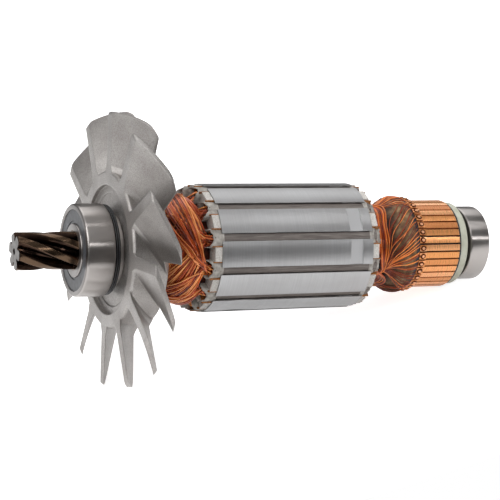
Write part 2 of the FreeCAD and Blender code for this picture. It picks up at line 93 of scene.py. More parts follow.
rear_axis = next(m["axis"] for m in frame["record"]["mounts"] if m["name"] == "rear_bearing_seat")
TILT = math.atan2(-rear_axis[2], rear_axis[0])
SHAFT_WAY = Matrix.Rotation(TILT, 3, "Y") @ Vector((1, 0, 0))
LAY = (
    Matrix.Scale(METRES, 4)
    @ Matrix.Rotation(TILT, 4, "Y")
    @ Matrix.Translation((-BEARING_CENTRE, 0, 0))
    @ Matrix.Rotation(math.radians(REST_TURN), 4, "X")
)


def polar(x, angle, radius):
    """Straight-frame point at a station, an angle in degrees and a radius."""
    turn = math.radians(angle)
    return Vector((x, -radius * math.sin(turn), radius * math.cos(turn)))


def mix(a, b, share):
    """Value between a and b."""
    return a + (b - a) * share


def eased(share):
    """0 to 1 along a smooth curve."""
    share = min(max(share, 0.0), 1.0)
    return share * share * (3 - 2 * share)


def along_profile(points, x):
    """Radius on a profile of (x, radius) points, straight between them."""
    if x <= points[0][0]:
        return points[0][1]
    for (x0, r0), (x1, r1) in zip(points, points[1:]):
        if x <= x1:
            return mix(r0, r1, (x - x0) / (x1 - x0))
    return points[-1][1]


# Meshes

WIRE_SIDES = 6


class Builder:
    """Collects faces of one piece in straight-frame millimetres."""

    def __init__(self):
        self.points = []
        self.faces = []
        self.tints = []

    def add(self, points, faces, tint=0.5):
        start = len(self.points)
        self.points.extend(points)
        self.tints.extend([tint] * len(points))
        self.faces.extend(tuple(start + i for i in face) for face in faces)

    def grid(self, rows, closed=False, tint=0.5):
        """Surface through rows of points; closed joins the ends of each row."""
        width = len(rows[0])
        faces = []
        for i in range(len(rows) - 1):
            for j in range(width if closed else width - 1):
                k = (j + 1) % width
                faces.append((i * width + j, i * width + k, (i + 1) * width + k, (i + 1) * width + j))
        self.add([p for row in rows for p in row], faces, tint)

    def wire(self, path, radius, tint=0.5):
        """Round wire along a path of points, closed at both ends."""
        rows = []
        side = None
        for i, point in enumerate(path):
            ahead = (path[min(i + 1, len(path) - 1)] - path[max(i - 1, 0)]).normalized()
            if side is None:
                side = ahead.orthogonal().normalized()
            side = (side - ahead * side.dot(ahead)).normalized()
            other = ahead.cross(side)
            row = []
            for n in range(WIRE_SIDES):
                turn = 2 * math.pi * n / WIRE_SIDES
                row.append(point + (side * math.cos(turn) + other * math.sin(turn)) * radius)
            rows.append(row)
        self.grid(rows, True, tint)
        start = len(self.points) - len(rows) * WIRE_SIDES
        last = len(self.points) - WIRE_SIDES
        self.faces.append(tuple(start + n for n in reversed(range(WIRE_SIDES))))
        self.faces.append(tuple(last + n for n in range(WIRE_SIDES)))

    def lathe(self, profile, turns=96):
        """Body turned about the shaft from a closed outline of (x, radius) points."""
        rows = []
        for x, radius in profile + profile[:1]:
            rows.append([polar(x, -360 * n / turns, radius) for n in range(turns)])
        self.grid(rows, True)

    def make(self, name, body, slot, replaced=(), material=None, smooth=True, sharp=None):
        """The piece as an object that rides on a body, in its slot's material if none is given."""
        mesh = bpy.data.meshes.new(name)
        mesh.from_pydata([LAY @ p for p in self.points], [], self.faces)
        mesh.validate()
        mesh.shade_smooth() if smooth else mesh.shade_flat()
        if sharp:
            mesh.set_sharp_from_angle(angle=math.radians(sharp))
        tint = mesh.attributes.new("tint", "FLOAT", "POINT")
        tint.data.foreach_set("value", self.tints)
        mesh.materials.append(material or MATERIALS[slot])
        piece = bpy.data.objects.new(name, mesh)
        bpy.context.scene.collection.objects.link(piece)
        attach(piece, body)
        if replaced:
            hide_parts(*replaced)


# Materials

# Least cosine to the shaft of a face that counts as looking along it
END_FACE_LEAST = 0.9
BEVEL_SAMPLES = 6


def straight_frame_mapping(links, tree_nodes):
    """Mapping node that gives a surface point in straight-frame millimetres."""
    back = Matrix.Rotation(math.radians(-REST_TURN), 3, "X") @ Matrix.Rotation(-TILT, 3, "Y")
    place = tree_nodes.new("ShaderNodeMapping")
    place.inputs["Scale"].default_value = (1 / METRES,) * 3
    place.inputs["Rotation"].default_value = back.to_euler("XYZ")
    place.inputs["Location"].default_value = (BEARING_CENTRE, 0, 0)
    where = tree_nodes.new("ShaderNodeTexCoord")
    links.new(where.outputs["Object"], place.inputs["Vector"])
    return place


class Material:
    """A node material on a Principled shader, with helpers for the patterns used here."""

    def __init__(self, name, colour, metallic=0.0, roughness=0.5, **shader):
        self.material = bpy.data.materials.new(name)
        self.material.use_nodes = True
        self.nodes = self.material.node_tree.nodes
        self.links = self.material.node_tree.links
        self.shader = self.nodes["Principled BSDF"]
        self.shader.inputs["Base Color"].default_value = (*colour, 1)
        self.shader.inputs["Metallic"].default_value = metallic
        self.shader.inputs["Roughness"].default_value = roughness
        for socket, value in shader.items():
            self.shader.inputs[socket.replace("_", " ")].default_value = value
        self.place = straight_frame_mapping(self.links, self.nodes)
        self.height = None

    def soft_edges(self, radius):
        """Edges that shade as if rounded by a radius in millimetres."""
        bevel = self.nodes.new("ShaderNodeBevel")
        bevel.samples = BEVEL_SAMPLES
        bevel.inputs["Radius"].default_value = radius * METRES
        self.height = bevel.outputs["Normal"]
        self.links.new(self.height, self.shader.inputs["Normal"])

    def turned(self, share):
        """Fine turning marks, which draw mirror images out along the shaft."""
        aim = self.nodes.new("ShaderNodeCombineXYZ")
        for letter, value in zip("XYZ", SHAFT_WAY):
            aim.inputs[letter].default_value = value
        self.links.new(aim.outputs["Vector"], self.shader.inputs["Tangent"])
        self.shader.inputs["Anisotropic"].default_value = share

    def end_faces(self):
        """1 on faces that look along the shaft."""
        where = self.nodes.new("ShaderNodeNewGeometry")
        along = self.nodes.new("ShaderNodeVectorMath")
        along.operation = "DOT_PRODUCT"
        along.inputs[1].default_value = SHAFT_WAY
        self.links.new(where.outputs["Normal"], along.inputs[0])
        return self.calc("GREATER_THAN", self.calc("ABSOLUTE", along.outputs["Value"]), END_FACE_LEAST)

    def shaft_distance(self):
        """Distance from the shaft's axis."""
        y, z = self.axis("Y"), self.axis("Z")
        squares = self.calc("ADD", self.calc("MULTIPLY", y, y), self.calc("MULTIPLY", z, z))
        return self.calc("SQRT", squares)

    def between(self, value, low, high):
        """1 where a value lies between two numbers."""
        above = self.calc("GREATER_THAN", value, low)
        return self.calc("MULTIPLY", above, self.calc("LESS_THAN", value, high))

    def noise(self, scale, stretch=(1, 1, 1), detail=3.0, roughness=0.5):
        """Noise in straight-frame millimetres, with scale in waves to the millimetre."""
        texture = self.nodes.new("ShaderNodeTexNoise")
        texture.inputs["Scale"].default_value = scale
        texture.inputs["Detail"].default_value = detail
        texture.inputs["Roughness"].default_value = roughness
        source = self.place.outputs["Vector"]
        if stretch != (1, 1, 1):
            sized = self.nodes.new("ShaderNodeVectorMath")
            sized.operation = "MULTIPLY"
            sized.inputs[1].default_value = stretch
            self.links.new(source, sized.inputs[0])
            source = sized.outputs["Vector"]
        self.links.new(source, texture.inputs["Vector"])
        return texture.outputs["Fac"]

    def attribute(self, name):
        """A named value of the mesh."""
        source = self.nodes.new("ShaderNodeAttribute")
        source.attribute_name = name
        return source.outputs["Fac"]

    def axis(self, letter):
        """One straight-frame coordinate."""
        split = self.nodes.new("ShaderNodeSeparateXYZ")
        self.links.new(self.place.outputs["Vector"], split.inputs["Vector"])
        return split.outputs[letter]

    def calc(self, operation, a, b=0.0):
        """Arithmetic on two sockets or numbers."""
        step = self.nodes.new("ShaderNodeMath")
        step.operation = operation
        for socket, value in zip(step.inputs, (a, b)):
            if isinstance(value, (int, float)):
                socket.default_value = value
            else:
                self.links.new(value, socket)
        return step.outputs["Value"]

    def ramp(self, value, stops):
        """Colour or grey by value, from (position, colour) stops."""
        ramp = self.nodes.new("ShaderNodeValToRGB")
        while len(ramp.color_ramp.elements) < len(stops):
            ramp.color_ramp.elements.new(1.0)
        for element, (position, colour) in zip(ramp.color_ramp.elements, stops):
            element.position = position
            if isinstance(colour, (int, float)):
                colour = (colour,) * 3
            element.color = (*colour, 1)
        self.links.new(value, ramp.inputs["Fac"])
        return ramp.outputs["Color"]

    def blend(self, share, a, b, kind="MIX"):
        """Colour between two colours or sockets."""
        step = self.nodes.new("ShaderNodeMix")
        step.data_type = "RGBA"
        step.blend_type = kind
        for index, value in ((0, share), (6, a), (7, b)):
            socket = step.inputs[index]
            if isinstance(value, bpy.types.NodeSocket):
                self.links.new(value, socket)
            elif index:
                socket.default_value = (*value, 1)
            else:
                socket.default_value = value
        return step.outputs[2]

    def colour(self, source):
        """Surface colour from a socket."""
        self.links.new(source, self.shader.inputs["Base Color"])

    def rough(self, source):
        """Roughness from a socket."""
        self.links.new(source, self.shader.inputs["Roughness"])

    def bump(self, source, height, strength=1.0):
        """Relief of a height in millimetres, added to what is there."""
        step = self.nodes.new("ShaderNodeBump")
        step.inputs["Strength"].default_value = strength
        step.inputs["Distance"].default_value = height * METRES
        self.links.new(source, step.inputs["Height"])
        if self.height is not None:
            self.links.new(self.height, step.inputs["Normal"])
        self.height = step.outputs["Normal"]
        self.links.new(self.height, self.shader.inputs["Normal"])


def srgb(code):
    """Linear colour from a hex code."""
    values = [int(code[i:i + 2], 16) / 255 for i in (0, 2, 4)]
    return tuple(v / 12.92 if v <= 0.04045 else ((v + 0.055) / 1.055) ** 2.4 for v in values)


def cast_aluminium():
    m = Material("cast_aluminium", srgb("b9b6b4"), 0.88, 0.45)
    m.soft_edges(0.7)
    grain = m.noise(2.4, detail=5.0, roughness=0.75)
    patches = m.noise(0.1, detail=2.0)
    shade = m.ramp(patches, [(0.3, srgb("a5a19e")), (0.7, srgb("bdbab7"))])
    m.colour(m.blend(m.ramp(grain, [(0.38, 0.0), (0.7, 0.7)]), shade, srgb("776e6a")))
    m.rough(m.ramp(grain, [(0.3, 0.3), (0.7, 0.5)]))
    m.bump(grain, 0.16, 0.9)
    return m.material


def bearing_steel():
    m = Material("bearing_steel", srgb("b3aeab"), 1.0, 0.3)
    m.soft_edges(0.3)
    m.turned(0.92)
    smudge = m.noise(0.25, detail=3.0)
    # End faces darker than the rims as painted shade
    m.colour(m.blend(m.end_faces(), srgb("a8a3a0"), srgb("7d7977")))
    m.rough(m.calc("ADD", m.calc("MULTIPLY", smudge, 0.1), 0.25))
    m.bump(m.noise(1.0, (14.0, 0.35, 0.35), detail=2.0), 0.002, 0.2)
    return m.material


def bright_steel():
    m = Material("bright_steel", srgb("bdb9b6"), 1.0, 0.28)
    m.soft_edges(0.3)
    m.bump(m.noise(1.0, (9.0, 0.4, 0.4), detail=2.0), 0.008, 0.4)
    return m.material


def seal_rubber():
    m = Material("seal_rubber", srgb("55575c"), 0.0, 0.42)
    grain = m.noise(3.0)
    m.colour(m.ramp(m.noise(0.35), [(0.35, srgb("3d3e42")), (0.7, srgb("56585c"))]))
    m.bump(grain, 0.03, 0.4)
    return m.material


def black_rubber():
    m = Material("black_rubber", srgb("161618"), 0.0, 0.4)
    m.bump(m.noise(2.0), 0.03, 0.4)
    return m.material


def shaft_steel():
    """Machined grey end face, oil-dark teeth with tips lighter for wear and as a painted highlight, and
    bright ground steel behind them.
    """
    m = Material("shaft_steel", srgb("8f8d8b"), 1.0, 0.3)
    m.soft_edges(0.25)
    x = m.axis("X")
    burn = m.noise(0.5, (0.5, 1.0, 1.0), detail=3.0)
    teeth = m.ramp(burn, [(0.3, srgb("2a201b")), (0.55, srgb("3a2c25")), (0.75, srgb("523f31"))])
    # Tooth tips lighter: wear, and a painted highlight
    wear_and_highlight = m.ramp(m.calc("SUBTRACT", m.shaft_distance(), TOOTH_WEAR_AND_HIGHLIGHT_FROM), [(0.45, 0.0), (0.8, 0.5)])
    teeth = m.blend(wear_and_highlight, teeth, srgb("78624e"))
    plain = m.calc("MAXIMUM", m.calc("LESS_THAN", x, 0.04), m.calc("GREATER_THAN", x, PINION_END + 0.02))
    m.colour(m.blend(plain, teeth, srgb("6e6b69")))
    m.rough(m.calc("ADD", m.ramp(burn, [(0.3, 0.14), (0.7, 0.28)]), m.calc("MULTIPLY", plain, 0.16)))
    m.bump(m.noise(1.0, (0.4, 3.0, 3.0), detail=3.0), 0.03, 0.4)
    return m.material


def core_steel():
    """Thin sheets seen on edge, with the balance cuts rougher and lighter than the turned teeth."""
    m = Material("core_steel", srgb("a9a9aa"), 1.0, 0.28)
    m.soft_edges(0.12)
    sheets = m.noise(1.0, (3.4, 0.05, 0.05), detail=2.0, roughness=0.6)
    fine = m.noise(1.0, (9.0, 0.3, 0.3), detail=2.0)
    patches = m.noise(0.1, (0.5, 1.0, 1.0))
    shade = m.ramp(sheets, [(0.3, srgb("a6a6a7")), (0.7, srgb("b2b2b3"))])
    shade = m.blend(m.ramp(patches, [(0.35, 0.0), (0.8, 0.4)]), shade, srgb("969392"))
    radius = m.shaft_distance()
    below = m.between(radius, BALANCE_CUT_BOTTOM, CORE_RADIUS - 0.12)
    cut = m.calc("MULTIPLY", below, m.between(m.axis("X"), *BALANCE_CUT))
    m.colour(m.blend(cut, shade, srgb("c9c9ca")))
    m.rough(m.calc("ADD", m.ramp(sheets, [(0.3, 0.34), (0.7, 0.4)]), m.calc("MULTIPLY", cut, 0.2)))
    m.bump(sheets, 0.004, 0.3)
    m.bump(fine, 0.003, 0.3)
    return m.material


def white_fibre():
    m = Material("white_fibre", srgb("d9d5cf"), 0.0, 0.8)
    speck = m.noise(2.2, detail=4.0, roughness=0.7)
    m.colour(m.ramp(speck, [(0.35, srgb("bcb5ae")), (0.6, srgb("dcd9d4")), (0.8, srgb("efece8"))]))
    m.bump(speck, 0.05, 0.6)
    return m.material


def slot_paper():
    m = Material("slot_paper", srgb("a09a93"), 0.0, 0.75)
    cloud = m.noise(0.6, detail=4.0)
    stops = [(0.3, srgb("8d8780")), (0.55, srgb("b3aea7")), (0.75, srgb("cbc7c0"))]
    m.colour(m.ramp(cloud, stops))
    m.bump(m.noise(3.0, detail=4.0), 0.05, 0.6)
    return m.material


def wedge_fibre():
    m = Material("wedge_fibre", srgb("726a66"), 0.0, 0.6)
    streak = m.noise(1.0, (0.12, 1.8, 1.8), detail=4.0, roughness=0.65)
    m.colour(m.ramp(streak, [(0.3, srgb("5a524e")), (0.55, srgb("776f6a")), (0.8, srgb("938c86"))]))
    m.bump(streak, 0.08, 0.6)
    return m.material


def brown_board():
    m = Material("brown_board", srgb("9c622c"), 0.0, 0.6)
    streak = m.noise(1.2, detail=3.0)
    m.colour(m.ramp(streak, [(0.3, srgb("6f4320")), (0.7, srgb("b4763a"))]))
    return m.material


def enamelled_wire():
    m = Material("enamelled_wire", srgb("b8511d"), 0.6, 0.24, Coat_Weight=0.9, Coat_Roughness=0.08)
    tint = m.attribute("tint")
    patch = m.noise(0.35, detail=3.0)
    share = m.calc("ADD", m.calc("MULTIPLY", tint, 0.7), m.calc("MULTIPLY", patch, 0.45))
    stops = [(0.2, srgb("702006")), (0.5, srgb("d75a18")), (0.8, srgb("ffa75c"))]
    m.colour(m.ramp(share, stops))
    return m.material


# Dark brown for wire bodies under the windings: painted shade, not the wires' own colour
def painted_shade_heart():
    m = Material("painted_shade_heart", srgb("3a1509"), 0.2, 0.5)
    m.colour(m.ramp(m.noise(0.8), [(0.3, srgb("1b0a06")), (0.7, srgb("54200d"))]))
    return m.material


def varnished_cone():
    m = Material("varnished_cone", srgb("746a5f"), 0.0, 0.5, Specular_IOR_Level=0.3)
    cloud = m.noise(0.3, detail=5.0, roughness=0.6)
    stops = [(0.3, srgb("3c2415")), (0.5, srgb("735537")), (0.62, srgb("8f7350")), (0.8, srgb("ab926e"))]
    shade = m.ramp(cloud, stops)
    station = m.axis("X")
    rim = m.ramp(m.calc("SUBTRACT", station, CONE_RIM), [(0.0, 0.0), (0.8, 1.0)])
    # Dark brown painted shade among the dense wires next to the windings, fading out along the cone
    climb = m.calc("MULTIPLY", m.calc("SUBTRACT", station, CONE_SHADE_FADES), 0.2)
    painted_shade = m.ramp(climb, [(0.0, 1.0), (0.9, 0.0)])
    m.colour(m.blend(rim, m.blend(painted_shade, shade, srgb("2a0f08")), srgb("2c2e33")))
    m.bump(m.noise(0.9, detail=4.0), 0.3, 1.0)
    return m.material


def varnished_wire():
    """Lead wires, grey with varnish in places."""
    m = Material("varnished_wire", srgb("a04518"), 0.55, 0.34, Coat_Weight=0.6, Coat_Roughness=0.16)
    tint = m.attribute("tint")
    cover = m.noise(0.28, detail=4.0)
    bare = m.ramp(tint, [(0.1, srgb("6a240a")), (0.5, srgb("c05016")), (0.9, srgb("ff9644"))])
    m.colour(m.blend(m.ramp(cover, [(0.5, 0.0), (0.72, 0.6)]), bare, srgb("6b5a4c")))
    return m.material


def bar_copper():
    """Turned copper, a little different from bar to bar."""
    m = Material("bar_copper", srgb("d98b52"), 0.6, 0.34)
    m.turned(0.5)
    island = m.nodes.new("ShaderNodeNewGeometry").outputs["Random Per Island"]
    streak = m.noise(1.0, (7.0, 0.3, 0.3), detail=2.0)
    stops = [(0.0, srgb("b87243")), (0.25, srgb("dd9558")), (0.7, srgb("f4aa6e")), (1.0, srgb("f8bc8c"))]
    bars = m.ramp(island, stops)
    m.colour(m.blend(m.ramp(streak, [(0.4, 0.0), (0.75, 0.25)]), bars, srgb("c98350")))
    m.rough(m.ramp(streak, [(0.3, 0.24), (0.7, 0.38)]))
    m.bump(streak, 0.015, 0.4)
    return m.material


def staked_copper():
    m = Material("staked_copper", srgb("c9804f"), 0.9, 0.36)
    # Tints near 0 give a near-black painted shade, used at the foot and in the groove of each staked end
    stops = [
        (0.3, srgb("140805")), (0.45, srgb("8f4a28")), (0.65, srgb("d48a58")), (0.85, srgb("f0b48c")),
    ]
    m.colour(m.ramp(m.attribute("tint"), stops))
    return m.material


def dark_moulding():
    m = Material("dark_moulding", srgb("23262c"), 0.0, 0.45)
    m.bump(m.noise(2.0), 0.03, 0.4)
    return m.material


def cream_ring():
    m = Material("cream_ring", srgb("bfc0ae"), 0.0, 0.45)
    cloud = m.noise(0.25, detail=3.0)
    m.colour(m.ramp(cloud, [(0.3, srgb("b3b4a1")), (0.7, srgb("c9cabb"))]))
    m.bump(m.noise(2.5), 0.02, 0.4)
    return m.material


MATERIALS = {
    "shaft_steel": shaft_steel(),
    "bright_steel": bright_steel(),
    "bearing_steel": bearing_steel(),
    "seal_rubber": seal_rubber(),
    "black_rubber": black_rubber(),
    "cast_aluminium": cast_aluminium(),
    "core_steel": core_steel(),
    "white_fibre": white_fibre(),
    "slot_paper": slot_paper(),
    "wedge_fibre": wedge_fibre(),
    "enamelled_wire": enamelled_wire(),
    "varnished_cone": varnished_cone(),
    "bar_copper": bar_copper(),
    "dark_moulding": dark_moulding(),
    "cream_ring": cream_ring(),
}
PAINTED_SHADE_HEART = painted_shade_heart()
BOARD = brown_board()
LEADS = varnished_wire()
STAKED = staked_copper()

for entry in frame["record"]["subparts"]:
    node = nodes[entry["node"]]
    node.data.materials.clear()
    node.data.materials.append(MATERIALS[entry["material_slot"]])

# Floor, light and camera

PHOTO_SIZE = 500
FOCAL_PIXELS = 1696
SENSOR = 36.0
CAMERA_TURN = 24.4
CAMERA_ROLL = 1.2
CAMERA_RANGE = 663.0
AIM_STATION = 95.3
AIM_DROP = 1.256


def make_camera():
    """Camera from the photograph: its turn about the upright, range, roll and focal length."""
    turn = math.radians(CAMERA_TURN)
    roll = math.radians(CAMERA_ROLL)
    ahead = Vector((math.sin(turn), math.cos(turn), 0))
    level = Vector((math.cos(turn), -math.sin(turn), 0))
    upright = Vector((0, 0, 1))
    right = level * math.cos(roll) - upright * math.sin(roll)
    up = upright * math.cos(roll) + level * math.sin(roll)
    place = Vector((AIM_STATION, 0, 0)) - up * AIM_DROP - ahead * CAMERA_RANGE
    rotation = LAY.to_3x3() * (1 / METRES) @ Matrix((right, up, -ahead)).transposed()
    data = bpy.data.cameras.new("camera")
    data.sensor_width = SENSOR
    data.lens = SENSOR * FOCAL_PIXELS / PHOTO_SIZE
    data.clip_start = 0.01
    camera = bpy.data.objects.new("camera", data)
    camera.matrix_world = Matrix.Translation(LAY @ place) @ rotation.to_4x4()
    bpy.context.scene.collection.objects.link(camera)
    bpy.context.scene.camera = camera


# Half size in metres, how far it comes to the front, and its glow, also as mirrors show it
FLOOR_HALF = 4.0
FLOOR_NEAR = 0.15
FLOOR_GLOW = 0.8
FLOOR_IN_MIRRORS = 0.65


def seen_directly(tree):
    """1 for rays from the camera or through glass, less for mirrored rays and 0 for the others."""
    path = tree.nodes.new("ShaderNodeLightPath")
    mirror = tree.nodes.new("ShaderNodeMath")
    mirror.operation = "MULTIPLY"
    mirror.inputs[1].default_value = FLOOR_IN_MIRRORS
    tree.links.new(path.outputs["Is Glossy Ray"], mirror.inputs[0])
    total = mirror.outputs["Value"]
    for kind in ("Is Camera Ray", "Is Transmission Ray"):
        step = tree.nodes.new("ShaderNodeMath")
        step.operation = "MAXIMUM"
        tree.links.new(total, step.inputs[0])
        tree.links.new(path.outputs[kind], step.inputs[1])
        total = step.outputs["Value"]
    return total


def make_floor():
    """Plain pale floor that shows white and keeps the shadow."""
    level = cad_box[0].z
    mesh = bpy.data.meshes.new("floor")
    corners = [
        (-FLOOR_HALF, -FLOOR_NEAR, level), (FLOOR_HALF, -FLOOR_NEAR, level),
        (FLOOR_HALF, FLOOR_HALF, level), (-FLOOR_HALF, FLOOR_HALF, level),
    ]
    mesh.from_pydata(corners, [], [(0, 1, 2, 3)])
    material = bpy.data.materials.new("floor")
    material.use_nodes = True
    tree = material.node_tree
    shader = tree.nodes["Principled BSDF"]
    shader.inputs["Base Color"].default_value = (0.8, 0.8, 0.8, 1)
    shader.inputs["Roughness"].default_value = 0.9
    shader.inputs["Specular IOR Level"].default_value = 0.0
    shader.inputs["Emission Color"].default_value = (1, 1, 1, 1)
    glow = tree.nodes.new("ShaderNodeMath")
    glow.operation = "MULTIPLY"
    glow.inputs[1].default_value = FLOOR_GLOW
    tree.links.new(seen_directly(tree), glow.inputs[0])
    tree.links.new(glow.outputs["Value"], shader.inputs["Emission Strength"])
    mesh.materials.append(material)
    floor = bpy.data.objects.new("floor", mesh)
    bpy.context.scene.collection.objects.link(floor)


# Brightness of the room by height, and what multiplies it at each end of the shaft
ROOM_LEVELS = ((0.0, 0.08), (0.3, 0.12), (0.6, 0.34), (0.85, 0.56), (1.0, 0.6))
ROOM_LEFT = 2.2
ROOM_RIGHT = 0.2


def make_world():
    """Soft room: dim near the horizon, bright overhead and on the left, and white for the camera."""
    world = bpy.data.worlds.new("room")
    world.use_nodes = True
    tree = world.node_tree
    where = tree.nodes.new("ShaderNodeTexCoord")
    split = tree.nodes.new("ShaderNodeSeparateXYZ")
    ramp = tree.nodes.new("ShaderNodeValToRGB")
    while len(ramp.color_ramp.elements) < len(ROOM_LEVELS):
        ramp.color_ramp.elements.new(1.0)
    for element, (position, level) in zip(ramp.color_ramp.elements, ROOM_LEVELS):
        element.position = position
        element.color = (level, level, level, 1)
    tree.links.new(where.outputs["Generated"], split.inputs["Vector"])
    tree.links.new(split.outputs["Z"], ramp.inputs["Fac"])
    side = tree.nodes.new("ShaderNodeMapRange")
    side.inputs["From Min"].default_value = -1
    side.inputs["To Min"].default_value = ROOM_LEFT
    side.inputs["To Max"].default_value = ROOM_RIGHT
    tree.links.new(split.outputs["X"], side.inputs["Value"])
    sided = tree.nodes.new("ShaderNodeVectorMath")
    sided.operation = "SCALE"
    tree.links.new(ramp.outputs["Color"], sided.inputs[0])
    tree.links.new(side.outputs["Result"], sided.inputs["Scale"])
    path = tree.nodes.new("ShaderNodeLightPath")
    choice = tree.nodes.new("ShaderNodeMix")
    choice.data_type = "RGBA"
    choice.inputs[7].default_value = (1, 1, 1, 1)
    tree.links.new(path.outputs["Is Camera Ray"], choice.inputs[0])
    tree.links.new(sided.outputs["Vector"], choice.inputs[6])
    tree.links.new(choice.outputs[2], tree.nodes["Background"].inputs["Color"])
    bpy.context.scene.world = world


# Station on the shaft that the lights are aimed at
LIT_STATION = 90
# Name, straight-frame direction, distance and size in metres, level, and whether mirrors show it
LAMPS = (
    ("front_strip", (0.185, -0.892, 0.203), 0.933, (0.28, 0.06), 11.0, True),
    ("rear_strip", (0.705, -0.892, 0.203), 1.155, (0.34, 0.06), 11.0, True),
    ("core_light", (0.44, -0.62, 0.65), 0.5, (0.16, 0.12), 2.3, True),
    ("upper_strip", (0.404, -0.429, 0.808), 1.0, (1.8, 0.04), 4.0, True),
    ("top_light", (0.1, 0.35, 1.0), 1.2, (1.6, 0.8), 1.25, True),
    ("side_light", (-1.0, -0.35, 0.5), 1.2, (0.8, 0.8), 3.0, True),
    ("front_fill", (-0.1, -1.0, 0.35), 1.2, (1.4, 1.2), 0.75, False),
)


def make_light(name, way, distance, size, level, in_mirrors):
    """Rectangular light aimed at the lit station, with its long side along the shaft."""
    data = bpy.data.lights.new(name, "AREA")
    data.shape = "RECTANGLE"
    data.size, data.size_y = size
    data.energy = level * math.pi * size[0] * size[1]
    light = bpy.data.objects.new(name, data)
    back = Vector(way).normalized()
    along = (Vector((1, 0, 0)) - back * back.x).normalized()
    turn = LAY.to_3x3() * (1 / METRES) @ Matrix((along, back.cross(along), back)).transposed()
    place = LAY @ (Vector((LIT_STATION, 0, 0)) + back * distance / METRES)
    light.matrix_world = Matrix.Translation(place) @ turn.to_4x4()
    light.visible_glossy = in_mirrors
    bpy.context.scene.collection.objects.link(light)


make_camera()
make_floor()
make_world()
for lamp in LAMPS:
    make_light(*lamp)
bpy.context.scene.view_settings.view_transform = "Standard"

# Turned rings

# Start, width, and radius of the bore, the rim and the balls
FRONT_BEARING = (PINION_END, 11.0, 7.5, 17.5, 2.976)
REAR_BEARING = (187.0, 9.0, 5.0, 15.0, 2.381)
RACE_DEPTH = 0.55
SEAL_SEAT_DEPTH = 1.3
SEAL_SEAT_STEP = 0.45
OUTER_RING_CORNER = 0.8
INNER_RING_CORNER = 0.3
# Start, end, inner and outer radius, and the corner where there is one
DUST_RING = (33.95, 35.65, 10.0, 17.1)
WASHER = (35.65, 38.15, 7.5, 14.1, 0.3)
CREAM_RING = (181.0, 184.5, 6.5, 16.7, 0.5)
RING_TURNS = 192
# Degrees between two faces from which their edge shades sharp
SHARP_FROM = 30


def arc(x, radius, size, start, end, steps=6):
    """Arc of a rounded corner about a centre, from one angle to another."""
    turns = [math.radians(mix(start, end, n / steps)) for n in range(steps + 1)]
    return [(x + size * math.cos(turn), radius + size * math.sin(turn)) for turn in turns]


def ring_profile(start, end, inner, outer, corner):
    """Outline of a ring with rounded outer corners."""
    near_corner = arc(start + corner, outer - corner, corner, 180, 90)
    far_corner = arc(end - corner, outer - corner, corner, 90, 0)
    return [(end, inner), (start, inner)] + near_corner + far_corner


def make_ring(name, body, slot, profile, replaced):
    """Turned ring shown instead of one solid."""
    ring = Builder()
    ring.lathe(profile, RING_TURNS)
    ring.make(name, body, slot, [replaced], sharp=SHARP_FROM)


def make_bearing_rings(end, start, width, bore, outer, ball):
    """Smooth outer and inner ring of one bearing, with the seats of its seals."""
    pitch = (bore + outer) / 2
    land = pitch + ball - RACE_DEPTH
    seat = land + SEAL_SEAT_STEP
    stop = start + width
    near, far = start + SEAL_SEAT_DEPTH, stop - SEAL_SEAT_DEPTH
    inside = [(stop, seat), (far, seat), (far, land), (near, land), (near, seat)]
    profile = inside + ring_profile(start, stop, seat, outer, OUTER_RING_CORNER)[1:]
    make_ring(end + "_outer_race", end + "_outer", "bearing_steel", profile, end + "_bearing_outer_ring")
    profile = ring_profile(start, stop, bore, pitch - ball + RACE_DEPTH, INNER_RING_CORNER)
    make_ring(end + "_inner_race", "rotor", "bearing_steel", profile, end + "_bearing_inner_ring")


def make_dust_ring():
    """Black rubber ring with a bead round each edge of its rim."""
    start, end, inner, outer = DUST_RING
    bead = (end - start) / 4
    profile = [(end, inner), (start, inner)]
    for centre in (start + bead, end - bead):
        profile += arc(centre, outer - bead, bead, 180, 0, steps=8)
    make_ring("dust_ring_rubber", "rotor", "black_rubber", profile, "dust_ring")


make_bearing_rings("front", *FRONT_BEARING)
make_bearing_rings("rear", *REAR_BEARING)
make_dust_ring()
make_ring("washer_turned", "rotor", "bright_steel", ring_profile(*WASHER), "washer")
make_ring("cream_ring_moulded", "rotor", "cream_ring", ring_profile(*CREAM_RING), "insulating_ring")

# Windings

WIRE_RADIUS = 0.3
SHAFT_SIDE_RADIUS = 9.6
LAYERS = 6
# From the first layer to the last: reach along the shaft, rise over it and depth in the slots
FRONT_REACH = (12.0, 14.9)
FRONT_RISE = (9.2, 12.3)
FRONT_DEPTH = (15.5, 20.5)
REAR_REACH = (5.5, 7.5)
REAR_RISE = (3.6, 6.4)
REAR_DEPTH = (15.5, 20.0)
# From the first wire of a coil to the last: lean in degrees
FRONT_LEAN = (74, 18)
REAR_LEAN = (78, 20)
random.seed(7)


def wobble(index, share, size):
    """Small smooth sideways drift along a wire."""
    return size * noise.noise(Vector((index * 3.17, share * 4.0, 0.5)))


